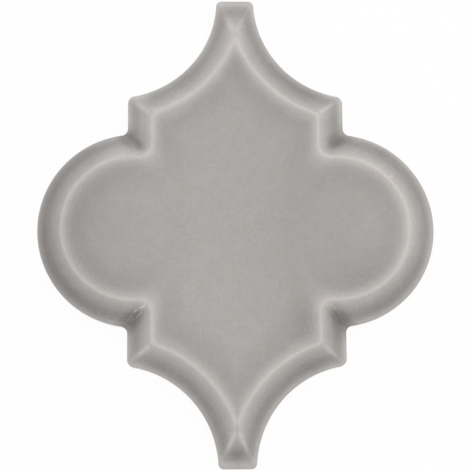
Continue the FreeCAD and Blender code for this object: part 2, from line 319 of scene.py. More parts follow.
class TileSizes(PropertyGroup):
    """Sizes of the fired tile."""

    tile_width: length("Width", "Across both lobes", TILE_WIDTH)
    tile_height: length("Height", "From one spire's end to the other", TILE_HEIGHT)
    thickness: length("Thickness", "Back to face", TILE_THICKNESS)
    spire_width: length("Spire width", "Flat end of a spire", 0.0142)
    lobe_radius: length("Lobe radius", "Round side lobe, in plan", 0.0368)
    joint_width: length("Joint", "Grout joint that a bay leaves around a neighbour's lobe", 0.002)
    end_joint: length("End joint", "Grout joint between the ends of two spires in line", 0.0006)
    rim_height: length("Rim height", "Back to where the bevel would meet the wall", 0.0056)
    bevel_width: length("Bevel width", "Wall to where the bevel would meet the face", 0.0092)
    spire_rim_height: length("Spire rim height", "Rim height at the end of a spire", 0.0053)
    spire_bevel_width: length("Spire bevel width", "Bevel width at the end of a spire", 0.0145)
    rim_round: length("Rim rounding", "Wall into bevel", 0.0012)
    ridge_round: length("Ridge rounding", "Bevel into face", 0.0050)
    shoulder_round: length("Shoulder rounding", "Shoulder corner, in plan", 0.0024)
    spire_round: length("Spire rounding", "Spire corner, in plan", 0.0020)
    nook_round: length("Nook rounding", "Inner corner between lobe and shoulder, in plan", 0.0024)
    hip_round: length("Hip rounding", "How far two bevels melt together over an outer corner", 0.0009)
    valley_round: length(
        "Valley rounding", "How far two bevels melt together in an inner corner, at the face", 0.0026
    )
    foot_round: length("Foot arris", "Softened edge around the back", 0.0006)
    key_width: length("Groove width", "Bedding groove in the back", 0.006)
    key_pitch: length("Groove pitch", "From one bedding groove to the next", 0.014)
    key_depth: length("Groove depth", "Bedding groove, from the back", 0.0007)
    key_margin: length("Groove margin", "Plain back left around the bedding grooves", 0.010)
    glaze_thickness: length("Glaze", "Thickness of the glaze on the wall", 0.00014)
    glaze_stop: length("Glaze stop", "Height on the wall where the glaze ends", 0.0014)
    glaze_wander: length("Glaze wander", "How far the end of the glaze strays up and down", 0.0005)
    face_wave: length("Face wave", "Slow unevenness of the glazed face", 0.00004)


class GlazeFinish(PropertyGroup):
    """Colours of the glaze by its depth, with the deepest colour partly painted shade in the inner corners,
    and of the bare clay.
    """

    thin: colour("Thin glaze", "Over ridges and rims, where the glaze runs off", (0.588, 0.552, 0.529))
    even: colour("Even glaze", "On the open face", (0.390, 0.368, 0.351))
    pooled: colour("Pooled glaze", "Low on the bevels", (0.219, 0.205, 0.193))
    # Deep colour: partly glaze pooled along the inner corners, partly painted shade in their creases
    deep: colour("Deep glaze", "Along the inner corners", (0.150, 0.140, 0.131))
    clay: colour("Bare clay", "Unglazed back and foot", (0.600, 0.520, 0.430))
    clay_dark: colour("Dark clay", "Coarser grains in the bare clay", (0.420, 0.345, 0.270))
    gloss: share("Roughness", "Roughness of the glaze", 0.20)
    clouding: share("Clouding", "How much the glaze depth varies in soft clouds", 0.12)
    speckling: share("Speckling", "How much the glaze depth varies in fine specks", 0.13)
    run_lines: share("Run lines", "How much the glaze depth varies in fine lines along the edge", 0.10)


class StudioSetup(PropertyGroup):
    """Light, floor and camera."""

    key_power: FloatProperty(
        name="Key light", description="Large soft light, upper right", default=2.08, min=0.0, unit="POWER"
    )
    window_power: FloatProperty(
        name="Window light", description="Cool soft light, above", default=0.70, min=0.0, unit="POWER"
    )
    pane_power: FloatProperty(
        name="Pane light", description="Small bright part of the window", default=0.10, min=0.0, unit="POWER"
    )
    ambient: share("Ambient", "Light that comes from all round", 0.80)
    key_tint: colour("Key tint", "Colour of the key light", (1.0, 0.985, 0.965))
    window_tint: colour("Window tint", "Colour of the window light", (0.82, 0.93, 1.0))
    floor: colour("Floor", "Pale studio floor", (0.95, 0.95, 0.95))
    floor_glow: share("Floor white", "How far the floor reads as white whatever falls on it", 0.95)
    camera_distance: length("Camera distance", "From the lens to the tile", 0.600)
    camera_tilt: FloatProperty(
        name="Camera tilt",
        description="How far the camera leans from straight above, towards the lower spire",
        default=math.radians(9.0),
        subtype="ANGLE",
    )
    camera_side: FloatProperty(
        name="Camera side",
        description="How far the camera leans from straight above, towards the left lobe",
        default=math.radians(2.0),
        subtype="ANGLE",
    )
    camera_roll: FloatProperty(
        name="Camera roll",
        description="How far the camera is turned about its own line of sight",
        default=-0.0069,
        subtype="ANGLE",
    )
    image_scale: FloatProperty(
        name="Image scale",
        description="Pixels of the picture for a metre at the tile",
        default=2623.4,
        min=1.0,
    )
    aim_x: FloatProperty(
        name="Aim across",
        description="Where the camera looks, across the tile",
        default=-0.00030,
        unit="LENGTH",
    )
    aim_y: FloatProperty(
        name="Aim along",
        description="Where the camera looks, along the tile",
        default=-0.00116,
        unit="LENGTH",
    )


def rounded_min(first, second, radius):
    """The lesser of two fields, joined by an arc where they come within the radius of each other.

    With h = max(radius - |first - second|, 0) / radius, the arc lies
    radius / 2 * (1 + h - sqrt(1 + 2 h - h * h)) below the lesser field.
    """
    near = np.maximum(radius - np.abs(first - second), 0.0) / radius
    return np.minimum(first, second) - radius / 2 * (1 + near - np.sqrt(1 + 2 * near - near * near))


def rounded_max(first, second, radius):
    """The greater of two fields, joined by an arc in the same way."""
    return -rounded_min(-first, -second, radius)


def ease(value, low, high):
    """0 below low, 1 above high, and a smooth cubic step between them."""
    part = np.clip((value - low) / (high - low), 0.0, 1.0)
    return part * part * (3 - 2 * part)


def bell(value, width):
    """1 where value is 0, falling to both sides as exp(-(value / width) squared)."""
    return np.exp(-((value / width) ** 2))


def ripple(x, y, wavelength, seed):
    """A gentle uneven field about 0: the mean of plane sine waves of about one wavelength.

    Each wave's direction, phase and length come from the seed.
    """
    rng = np.random.default_rng(seed)
    turn = rng.uniform(0, 2 * math.pi, RIPPLE_WAVES)
    phase = rng.uniform(0, 2 * math.pi, RIPPLE_WAVES)
    number = 2 * math.pi / (wavelength * rng.uniform(*RIPPLE_LENGTHS, RIPPLE_WAVES))
    path = x[..., None] * np.cos(turn) + y[..., None] * np.sin(turn)
    return np.sin(path * number + phase).mean(axis=-1)


def patches(x, y, places):
    """The amounts at all the named places, each falling off over its reach like a bell."""
    return sum(
        amount * bell(np.hypot(x - at_x, y - at_y), reach) for at_x, at_y, reach, amount in places.values()
    )


def valley_pools_and_shade(y, run, rise):
    """1 along the valleys, low on the bevels, and 0 away from them and higher up: pooled glaze and painted
    shade.
    """
    aside = rise - VALLEY_OFFSET * (y > 0)
    return bell(aside, VALLEY_SPREAD) * (1 - ease(run, VALLEY_FADE, VALLEY_END))


def inner_face(run, rise):
    """1 on the face just inside the nooks, and 0 away from them."""
    started = ease(run, INNER_FACE_START, INNER_FACE_FULL)
    ended = ease(run, INNER_FACE_FADE, INNER_FACE_END)
    return bell(rise, INNER_FACE_SPREAD) * started * (1 - ended)


def spire_hair(x, y):
    """1 along the hair line of the lower spire, and 0 elsewhere."""
    low, high = SPIRE_LINE_ENDS
    along = ease(y, low, low + SPIRE_LINE_FADE) * (1 - ease(y, high - SPIRE_LINE_FADE, high))
    return bell(x, SPIRE_LINE_WIDTH) * along


def nook_glints(x, y, run, rise):
    """Painted glints in the two lower nooks: how much less glaze depth, and so how much lighter, along their
    loops.

    A loop is an ellipse over run and rise, and a ripple bends and breaks its line.
    """
    wobble = ripple(x, y, GLINT_WAVE, GLINT_SEED)
    loop = np.hypot((run - GLINT_RUN) / GLINT_LENGTH, (rise - GLINT_OFFSET) / GLINT_WIDTH)
    line = bell(loop - 1 - GLINT_BEND * wobble, GLINT_LINE) * np.maximum(1 + GLINT_BREAKS * wobble, 0.0)
    return line * np.where(x < 0, *GLINT_LIGHTENING) * (y < 0)


class Plan:
    """The tile's outline and height, from its sizes.

    A neighbour's lobe sits in each bay with the joint around it, and the step between
    lobe and bay is halfway between their centres, so the outline tiles a wall.
    """

    def __init__(self, sizes):
        self.sizes = sizes
        self.half_height = sizes.tile_height / 2
        self.lobe_x = sizes.tile_width / 2 - sizes.lobe_radius
        self.bay_radius = sizes.lobe_radius + sizes.joint_width
        self.bay_x = sizes.spire_width / 2 + self.bay_radius
        self.bay_y = (sizes.tile_height + sizes.end_joint) / 2
        self.step_x = (self.lobe_x + self.bay_x - sizes.joint_width) / 2
        self.shoulder_y = self.bay_y - math.sqrt(self.bay_radius**2 - (self.bay_x - self.step_x) ** 2)
        self.nook_y = math.sqrt(sizes.lobe_radius**2 - (self.step_x - self.lobe_x) ** 2)
        self.spire_half = self.bay_x - math.sqrt(self.bay_radius**2 - (self.bay_y - self.half_height) ** 2)
        self.slope = math.atan2(sizes.thickness - sizes.rim_height, sizes.bevel_width)
        self.rim_reach = sizes.rim_round * math.tan((math.pi / 2 - self.slope) / 2)
        self.wall_top = sizes.rim_height - self.rim_reach
        self.rim_run = self.rim_reach * math.cos(self.slope)
        self.ridge_end = sizes.bevel_width + sizes.ridge_round * math.tan(self.slope / 2)

    def distances(self, x, y):
        """Distance in plan from each edge, positive inside it: right bay, left bay, step, spire, lobe."""
        along = np.abs(y)
        right = np.hypot(x - self.bay_x, along - self.bay_y) - self.bay_radius
        left = np.hypot(x + self.bay_x, along - self.bay_y) - self.bay_radius
        step = self.step_x - np.abs(x)
        spire = self.half_height - along
        lobe = self.sizes.lobe_radius - np.hypot(np.abs(x) - self.lobe_x, along)
        return right, left, step, spire, lobe

    def inward(self, x, y):
        """Distance in from the rounded outline.

        It is the least of bay, step and spire, or the lobe's where that is greater.
        """
        right, left, step, spire, lobe = self.distances(x, y)
        bay = np.minimum(right, left)
        middle = rounded_min(bay, step, self.sizes.shoulder_round)
        middle = rounded_min(middle, spire, self.sizes.spire_round)
        return rounded_max(middle, lobe, self.sizes.nook_round)

    def bevels(self, x, y):
        """Height of each edge's straight bevel, carried on past the face.

        They come as the distances do: right bay, left bay, step, spire, lobe.
        """
        sizes = self.sizes
        right, left, step, spire, lobe = self.distances(x, y)
        steep = math.tan(self.slope)
        end_steep = (sizes.thickness - sizes.spire_rim_height) / sizes.spire_bevel_width
        end = sizes.spire_rim_height + spire * end_steep
        right, left, step, lobe = (sizes.rim_height + edge * steep for edge in (right, left, step, lobe))
        return right, left, step, end, lobe

    def roof(self, x, y):
        """Height of all bevels together, before the face cuts them off.

        Bevels meet in hips, where the lowest one counts, and each lobe joins in valleys,
        where the higher one counts.
        """
        hip = self.sizes.hip_round
        right, left, step, end, lobe = self.bevels(x, y)
        middle = rounded_min(rounded_min(rounded_min(right, left, hip), step, hip), end, hip)
        rise = ease(np.maximum(middle, lobe), self.sizes.rim_height, self.sizes.thickness)
        return rounded_max(middle, lobe, self.sizes.valley_round * (VALLEY_FOOT + (1 - VALLEY_FOOT) * rise))

    def height(self, x, y, inward):
        """Height of the glazed surface: the roof, levelled by the ridge's arc and let down by the rim's.

        The face has a slow ripple, which only lowers it.
        """
        sizes = self.sizes
        roof = self.roof(x, y)
        radius = sizes.ridge_round
        arc_start = self.ridge_end - radius * math.sin(self.slope)
        run = (roof - sizes.rim_height) / math.tan(self.slope)
        over = np.clip(run, arc_start, self.ridge_end) - self.ridge_end
        arc = sizes.thickness - radius + np.sqrt(radius**2 - over**2)
        top = np.where(run < arc_start, roof, arc)
        on_arc = np.clip(inward, 0.0, self.rim_run)
        rim = self.wall_top + np.sqrt(sizes.rim_round**2 - (sizes.rim_round - on_arc) ** 2)
        drop = sizes.rim_height + on_arc * math.tan(self.slope) - rim
        wave = sizes.face_wave * (ripple(x, y, sizes.tile_width / FACE_RIPPLES, FACE_SEED) - 1)
        return top - drop + wave * ease(inward, 0.0, sizes.bevel_width)

    def glaze_line(self, x, y):
        """Height on the wall where the glaze ends, straying along the outline."""
        sizes = self.sizes
        stray = ripple(x, y, sizes.lobe_radius / GLAZE_LINE_RIPPLES, GLAZE_LINE_SEED)
        return sizes.glaze_stop + sizes.glaze_wander * stray

    def outer_corners(self, x, y):
        """1 at the corners of the shoulders and the spires, and 0 away from them."""
        inset_x, inset_y = CORNER_INSET
        across = np.abs(x)
        along = np.abs(y)
        shoulder = np.hypot(across - self.step_x + inset_x, along - self.shoulder_y + inset_y)
        tip = np.hypot(across - self.spire_half, along - self.half_height)
        return bell(shoulder, CORNER_REACH) + bell(tip, CORNER_REACH)

    def hips(self, x, y, z, run, gap, rise):
        """1 along the hips, where the two lowest bevels are level, and 0 near the face and on the lobes."""
        slanted = ease(self.sizes.thickness - z, HIP_END, HIP_FADE)
        on_middle = 1 - ease(rise, 0.0, HIP_LOBE_GAP)
        line = bell(gap, HIP_SPREAD) * slanted * on_middle * ease(run, HIP_START, HIP_FULL)
        return line * (1 - patches(x, y, FAINT_HIPS))

    def glaze_depth_and_light(self, x, y, z):
        """How deep the glaze lies, from 0 where it has run off to DEEPEST_GLAZE in the inner corners.

        The run, which is the roof's rise in bevel widths, gives the depth over the section. The glaze is
        thinner on hips, outer corners and open face, and pools in the valleys, where painted shade deepens
        it further. The pattern is shifted as painted light, and patches of uneven glaze and of painted light
        and shade, a hair line and two painted glints in the lower nooks come on top.
        """
        sizes = self.sizes
        # Painted light: the glaze pattern is shifted as the light from the right would move it
        x = x - GLAZE_LIGHT_SHIFT[0]
        y = y - GLAZE_LIGHT_SHIFT[1]
        run = (self.roof(x, y) - sizes.rim_height) / math.tan(self.slope) / sizes.bevel_width
        right, left, step, end, lobe = self.bevels(x, y)
        lowest, second = np.sort(np.stack([right, left, step, end]), axis=0)[:2]
        rise = lobe - lowest
        depth = np.interp(run, *np.transpose(GLAZE_SECTION))
        depth = depth - CORNER_THINNING * self.outer_corners(x, y)
        depth = depth - INNER_FACE_THINNING * inner_face(run, rise)
        depth = depth * (1 - HIP_THINNING * self.hips(x, y, z, run, second - lowest, rise))
        # Valley pools: partly pooled glaze, partly painted shade in the inner corners
        depth = depth + VALLEY_POOLING_AND_SHADE * valley_pools_and_shade(y, run, rise)
        open_face = bell(np.hypot(x / sizes.lobe_radius, y / self.half_height), FACE_REACH)
        depth = depth - FACE_THINNING * open_face + patches(x, y, GLAZE_DRIFT_AND_PAINTED_LIGHT)
        # The loops in the lower nooks are painted glints: highlights painted as thinner glaze
        depth = depth + SPIRE_LINE_DEPTH * spire_hair(x, y) - nook_glints(x, y, run, rise)
        return np.clip(depth, 0.0, DEEPEST_GLAZE)


def quarter_outline(plan):
    """Points on the unrounded outline from a spire's middle to a lobe's end, and their inner points.

    Along the outline the columns crowd at the three corners. Each outline point is joined to an
    inner point that slides down the spire's middle line to the centre and on to the lobe's centre.
    """
    sizes = plan.sizes
    bay_start = math.atan2(plan.half_height - plan.bay_y, plan.spire_half - plan.bay_x) % (2 * math.pi)
    bay_end = math.atan2(plan.shoulder_y - plan.bay_y, plan.step_x - plan.bay_x) % (2 * math.pi)
    lobe_start = math.atan2(plan.nook_y, plan.step_x - plan.lobe_x)
    runs = np.array([
        plan.spire_half,
        plan.bay_radius * (bay_end - bay_start),
        plan.shoulder_y - plan.nook_y,
        sizes.lobe_radius * lobe_start,
    ])
    ends = np.cumsum(runs)
    fine = np.linspace(0.0, ends[-1], QUARTER_COLUMNS * TRIED_POINTS)
    crowd = 1 + CORNER_CROWDING * bell(fine[:, None] - ends[:-1], sizes.shoulder_round).sum(axis=1)
    total = np.concatenate([[0.0], np.cumsum((crowd[1:] + crowd[:-1]) / 2)])
    path = np.interp(np.linspace(0.0, total[-1], QUARTER_COLUMNS + 1), total, fine)

    on_bay = bay_start + np.clip(path - ends[0], 0.0, runs[1]) / plan.bay_radius
    on_lobe = lobe_start - np.clip(path - ends[2], 0.0, runs[3]) / sizes.lobe_radius
    parts = [path < ends[0], path < ends[1], path < ends[2]]
    x = np.select(
        parts,
        [path, plan.bay_x + plan.bay_radius * np.cos(on_bay), np.full_like(path, plan.step_x)],
        plan.lobe_x + sizes.lobe_radius * np.cos(on_lobe),
    )
    y = np.select(
        parts,
        [
            np.full_like(path, plan.half_height),
            plan.bay_y + plan.bay_radius * np.sin(on_bay),
            plan.shoulder_y - (path - ends[1]),
        ],
        sizes.lobe_radius * np.sin(on_lobe),
    )
    top = plan.half_height - sizes.spire_bevel_width * INNER_TOP
    steep = np.tan(on_bay)
    inner_y = np.clip(np.minimum(plan.bay_y - plan.bay_x * steep, top), 0.0, top)
    inner_y = np.where(path <= ends[0], top, np.where(path <= ends[1], inner_y, 0.0))
    settled = path[np.argmax(inner_y <= 0.0)]
    marks = np.array([settled, ends[1], ends[2], (ends[2] + ends[3]) / 2, ends[3]])
    inner_x = np.interp(path, marks, np.array(INNER_SHARES) * plan.lobe_x)
    return x, y, inner_x, inner_y


def round_the_tile(quarter, sign_x, sign_y):
    """One quarter's values carried round all four quarters, each turn's first column left out."""
    order = [(1, 1, 1), (1, -1, -1), (-1, -1, 1), (-1, 1, -1)]
    turns = []
    for across, along, step in order:
        factor = (across if sign_x else 1) * (along if sign_y else 1)
        turns.append((quarter * factor)[::step][:-1])
    return np.concatenate(turns)


def level_points(plan, outer, inner, levels):
    """Where the line from each outline point to its inner point reaches each inward distance.

    It is found by halving, for all points at once.
    """
    low = np.full(levels.shape, SEARCH_START)
    high = np.ones(levels.shape)
    run = inner - outer
    for _ in range(HALVINGS):
        middle = (low + high) / 2
        inward = plan.inward(outer[0] + middle * run[0], outer[1] + middle * run[1])
        low = np.where(inward < levels, middle, low)
        high = np.where(inward < levels, high, middle)
    part = (low + high) / 2
    return outer[0] + part * run[0], outer[1] + part * run[1], part


def tile_rows(plan):
    """The tile's closed surface as rows of points, from the middle of the face round to the back.

    Rows on the edge keep a constant distance from the outline, so they follow rim, bevel and
    ridge. Where a spire is narrower than the bevel they close up evenly.
    """
    sizes = plan.sizes
    x, y, inner_x, inner_y = quarter_outline(plan)
    outer = np.stack([round_the_tile(x, True, False), round_the_tile(y, False, True)])
    inner = np.stack([round_the_tile(inner_x, True, False), round_the_tile(inner_y, False, True)])

    angles = np.linspace(0.0, math.pi / 2 - plan.slope, RIM_ROWS)
    rim = sizes.rim_round * (1 - np.cos(angles))
    ridge_start = sizes.bevel_width - RIDGE_LEAD * (plan.ridge_end - sizes.bevel_width)
    bevel = np.linspace(plan.rim_run, ridge_start, BEVEL_ROWS)[1:]
    ridge = np.linspace(ridge_start, plan.ridge_end * PAST_RIDGE, RIDGE_ROWS)[1:]
    levels = np.concatenate([rim, bevel, ridge])
    deepest = plan.inward(inner[0], inner[1])
    room = np.clip((NARROW_SHARE * deepest - plan.rim_run) / (levels[-1] - plan.rim_run), 0.0, 1.0)
    beyond = np.maximum(levels - plan.rim_run, 0.0)
    scaled = np.minimum(levels, plan.rim_run)[:, None] + beyond[:, None] * room
    edge_x, edge_y, part = level_points(plan, outer, inner, scaled)
    edge_z = plan.height(edge_x, edge_y, scaled)

    across = np.linspace(0.0, 1.0, FACE_ROWS + 1)[1:, None]
    face_part = part[-1] + (1 - part[-1]) * across
    face_x = outer[0] + face_part * (inner[0] - outer[0])
    face_y = outer[1] + face_part * (inner[1] - outer[1])
    face_z = plan.height(face_x, face_y, plan.inward(face_x, face_y))

    turn = np.linspace(0.0, math.pi / 2, FOOT_ROWS)
    bare = np.concatenate([[1.0, 1.0], 1 + (sizes.foot_round / sizes.glaze_thickness) * (1 - np.cos(turn))])
    set_back = np.concatenate([[0.0, 0.0, GLAZE_EDGE_SET_BACK], bare]) * sizes.glaze_thickness
    wall_levels = np.broadcast_to(set_back[:, None], (set_back.size, outer.shape[1]))
    wall_x, wall_y, wall_part = level_points(plan, outer, inner, wall_levels)
    line = plan.glaze_line(outer[0], outer[1])
    foot = sizes.foot_round * (1 - np.sin(turn))
    wall_z = np.concatenate([
        (line + WALL_MIDDLE * (plan.wall_top - line))[None],
        line + np.array(GLAZE_EDGE_ROWS)[:, None] * sizes.glaze_thickness,
        line[None],
        np.broadcast_to(foot[0] * FOOT_START, line.shape)[None],
        np.broadcast_to(foot[:, None], (foot.size, line.size)),
    ])

    back_part = wall_part[-1] + (1 - wall_part[-1]) * np.linspace(0.0, 1.0, BACK_ROWS + 1)[1:, None]
    back_x = outer[0] + back_part * (inner[0] - outer[0])
    back_y = outer[1] + back_part * (inner[1] - outer[1])
    rows_x = np.concatenate([face_x[::-1], edge_x[::-1], wall_x, back_x])
    rows_y = np.concatenate([face_y[::-1], edge_y[::-1], wall_y, back_y])
    rows_z = np.concatenate([face_z[::-1], edge_z[::-1], wall_z, np.zeros_like(back_x)])
    return np.stack([rows_x, rows_y, rows_z], axis=-1)


def grid_faces(rows, columns):
    """Quads of a grid whose columns run once round and close on the first."""
    index = np.arange(rows * columns).reshape(rows, columns)
    beside = np.roll(index, -1, axis=1)
    return np.stack([index[:-1], beside[:-1], beside[1:], index[1:]], axis=-1).reshape(-1, 4)


def add_mesh(name, points, faces):
    mesh = bpy.data.meshes.new(name)
    mesh.from_pydata(points.reshape(-1, 3).tolist(), [], faces)
    work = bmesh.new()
    work.from_mesh(mesh)
    bmesh.ops.remove_doubles(work, verts=work.verts, dist=MERGE_GAP)
    bmesh.ops.recalc_face_normals(work, faces=work.faces)
    work.to_mesh(mesh)
    work.free()
    obj = bpy.data.objects.new(name, mesh)
    bpy.context.scene.collection.objects.link(obj)
    return obj


def groove_reach(plan, x):
    """Half the length of a bedding groove between the centres of its round ends.

    It stops a margin short of the bay where it passes clear of the step, and else of the lobe.
    """
    sizes = plan.sizes
    room = sizes.key_margin + sizes.key_width / 2
    if x + room < plan.step_x:
        return plan.bay_y - math.sqrt((plan.bay_radius + room) ** 2 - (plan.bay_x - x) ** 2)
    return math.sqrt(max((sizes.lobe_radius - room) ** 2 - (x - plan.lobe_x) ** 2, 0.0))


def groove_cutters(plan):
    """Points and faces of the shapes that press the bedding grooves into the back.

    Each is a round-ended slot's outline, carried up with a slight draft and closed at both ends:
    x = centre + r cos(a), y = +-reach + r sin(a).
    """
    sizes = plan.sizes
    angles = (np.arange(GROOVE_SIDES) + 0.5) * 2 * math.pi / GROOVE_SIDES
    levels = np.array(GROOVE_LEVELS)
    draft = np.array(GROOVE_DRAFT) * sizes.key_width / 2
    radius = (sizes.key_width / 2 - draft)[:, None]
    centres = (np.arange(int(sizes.tile_width / 2 // sizes.key_pitch)) + 0.5) * sizes.key_pitch
    points = []
    faces = []
    for centre in np.concatenate([centres, -centres]):
        reach = groove_reach(plan, abs(centre))
        if reach > sizes.key_width:
            x = centre + radius * np.cos(angles)
            y = np.sign(np.sin(angles)) * reach + radius * np.sin(angles)
            z = np.broadcast_to(levels[:, None] * sizes.key_depth, x.shape)
            first = GROOVE_SIDES * levels.size * len(points)
            faces += (grid_faces(levels.size, GROOVE_SIDES) + first).tolist()
            faces += [list(range(first, first + GROOVE_SIDES))]
            last = first + GROOVE_SIDES * (levels.size - 1)
            faces += [list(range(last, last + GROOVE_SIDES))]
            points.append(np.stack([x, y, z], axis=-1))
    return np.concatenate(points), faces


def press_grooves(obj, plan):
    """Cut the bedding grooves out of the back, and leave a plain mesh."""
    cutter = add_mesh("groove_cutters", *groove_cutters(plan))
    press = obj.modifiers.new("grooves", "BOOLEAN")
    press.operation = "DIFFERENCE"
    press.solver = "EXACT"
    press.object = cutter
    evaluated = obj.evaluated_get(bpy.context.evaluated_depsgraph_get())
    pressed = bpy.data.meshes.new_from_object(evaluated)
    blank = obj.data
    obj.modifiers.clear()
    obj.data = pressed
    bpy.data.meshes.remove(blank)
    tool = cutter.data
    bpy.data.objects.remove(cutter)
    bpy.data.meshes.remove(tool)
    pressed.name = obj.name


def finish_surface(mesh, plan, glaze, clay):
    """Set the glaze's values at each point, the bare clay below the glaze line, and smooth shading."""
    points = np.empty(len(mesh.vertices) * 3)
    mesh.vertices.foreach_get("co", points)
    x, y, z = points.reshape(-1, 3).T
    values = {
        DEPTH_AND_LIGHT_VALUE: plan.glaze_depth_and_light(x, y, z) / DEEPEST_GLAZE,
        EDGE_VALUE: plan.inward(x, y) / plan.sizes.bevel_width,
    }
    for name, numbers in values.items():
        mesh.attributes.new(name, "FLOAT", "POINT").data.foreach_set("value", numbers.astype(np.float32))
    centres = np.empty(len(mesh.polygons) * 3)
    mesh.polygons.foreach_get("center", centres)
    x, y, z = centres.reshape(-1, 3).T
    mesh.materials.clear()
    mesh.materials.append(glaze)
    mesh.materials.append(clay)
    mesh.polygons.foreach_set("material_index", (z < plan.glaze_line(x, y)).astype(np.int32))
    mesh.shade_smooth()
    mesh.set_sharp_from_angle(angle=SHARP_ANGLE)
    mesh.update()


def new_material(name):
    """A material, its node tree and its shader, and a function that adds a node with inputs set."""
    material = bpy.data.materials.new(name)
    material.use_nodes = True
    tree = material.node_tree
    shader = tree.nodes["Principled BSDF"]

    def add(kind, **inputs):
        node = tree.nodes.new(kind)
        for key, value in inputs.items():
            node.inputs[key.replace("_", " ")].default_value = value
        return node

    return material, tree, shader, add


def combine(operation, first, second, add, link):
    """The result of a Math node on two sockets."""
    node = add("ShaderNodeMath")
    node.operation = operation
    link(first, node.inputs[0])
    link(second, node.inputs[1])
    return node.outputs["Value"]


def noise(settings, place, add, link):
    """A noise's value at each place."""
    texture = add("ShaderNodeTexNoise", **settings)
    link(place, texture.inputs["Vector"])
    return texture.outputs["Fac"]


def stretch(value, add, link, **ends):
    """A value carried from one range to another."""
    node = add("ShaderNodeMapRange", **ends)
    link(value, node.inputs["Value"])
    return node.outputs["Result"]


def swing(value, amount, add, link):
    """A value from 0 to 1 as a change of glaze depth, by as much as the amount up or down."""
    most = amount / DEEPEST_GLAZE
    return stretch(value, add, link, To_Min=-most, To_Max=most)


def set_ramp(node, stops):
    """Fill a colour ramp, which has its two ends already, with positions and colours."""
    ramp = node.color_ramp
    for position, _ in stops[1:-1]:
        ramp.elements.new(position)
    for element, (position, tint) in zip(ramp.elements, stops):
        element.position = position
        element.color = (*tint, 1.0)


def set_relief(height, settings, shader, add, link):
    """Let a height show as fine relief in the shading."""
    bump = add("ShaderNodeBump", **settings)
    link(height, bump.inputs["Height"])
    link(bump.outputs["Normal"], shader.inputs["Normal"])


def run_lines(amount, place, add, link):
    """Fine lines that follow the outline on the bevels and fade out at the ridge.

    They are a noise that changes slowly over the tile and fast with the distance from the outline.
    """
    edge = add("ShaderNodeAttribute")
    edge.attribute_name = EDGE_VALUE
    distance = edge.outputs["Fac"]
    across = add("ShaderNodeMath")
    across.operation = "MULTIPLY"
    across.inputs[1].default_value = LINES_ACROSS
    link(distance, across.inputs[0])
    lift = add("ShaderNodeCombineXYZ")
    link(across.outputs["Value"], lift.inputs["Z"])
    slow = add("ShaderNodeVectorMath")
    slow.operation = "SCALE"
    slow.inputs["Scale"].default_value = LINES_ALONG
    link(place, slow.inputs[0])
    where = add("ShaderNodeVectorMath")
    link(slow.outputs["Vector"], where.inputs[0])
    link(lift.outputs["Vector"], where.inputs[1])
    lines = swing(noise(LINES, where.outputs["Vector"], add, link), amount, add, link)
    bevel = stretch(distance, add, link, From_Min=LINES_FADE, From_Max=LINES_END, To_Min=1.0, To_Max=0.0)
    return combine("MULTIPLY", lines, bevel, add, link)


def glaze_material(finish):
    """Grey glaze: lighter where it is thin, darker where it pools and where painted shade lies in the inner
    corners, with painted light and glints carried in its depth, clouded, with a faint orange peel.
    """
    material, tree, shader, add = new_material("grey_glaze")
    link = tree.links.new
    place = add("ShaderNodeTexCoord").outputs["Object"]
    depth = add("ShaderNodeAttribute")
    depth.attribute_name = DEPTH_AND_LIGHT_VALUE
    uneven = (
        swing(noise(CLOUDS, place, add, link), finish.clouding, add, link),
        swing(noise(SPECKS, place, add, link), finish.speckling, add, link),
        run_lines(finish.run_lines, place, add, link),
    )
    total = depth.outputs["Fac"]
    for change in uneven:
        total = combine("ADD", total, change, add, link)
    ramp = add("ShaderNodeValToRGB")
    set_ramp(ramp, [
        (0.0, finish.thin),
        (EVEN_DEPTH / DEEPEST_GLAZE, finish.even),
        (POOLED_DEPTH / DEEPEST_GLAZE, finish.pooled),
        (1.0, finish.deep),
    ])
    link(total, ramp.inputs["Fac"])
    link(ramp.outputs["Color"], shader.inputs["Base Color"])

    bloom = noise(BLOOM, place, add, link)
    least = finish.gloss * (1 - GLOSS_SWING)
    most = finish.gloss * (1 + GLOSS_SWING)
    link(stretch(bloom, add, link, To_Min=least, To_Max=most), shader.inputs["Roughness"])
    set_relief(noise(PEEL, place, add, link), PEEL_BUMP, shader, add, link)
    shader.inputs["IOR"].default_value = GLAZE_IOR
    return material


def clay_material(finish):
    """Bare fired clay: buff, matt and grainy."""
    material, tree, shader, add = new_material("bare_clay")
    link = tree.links.new
    place = add("ShaderNodeTexCoord").outputs["Object"]
    grain = noise(GRAIN, place, add, link)
    ramp = add("ShaderNodeValToRGB")
    set_ramp(ramp, [(DARK_GRAIN, finish.clay_dark), (PALE_GRAIN, finish.clay)])
    link(combine("MULTIPLY", grain, noise(STAIN, place, add, link), add, link), ramp.inputs["Fac"])
    link(ramp.outputs["Color"], shader.inputs["Base Color"])
    set_relief(grain, GRAIN_BUMP, shader, add, link)
    shader.inputs["Roughness"].default_value = CLAY_ROUGHNESS
    return material


def seen_directly(add, link):
    """1 for rays that show the background: from the camera, in a reflection or through glass."""
    path = add("ShaderNodeLightPath")
    total = path.outputs["Is Camera Ray"]
    for name in ("Is Glossy Ray", "Is Transmission Ray"):
        total = combine("MAXIMUM", total, path.outputs[name], add, link)
    return total


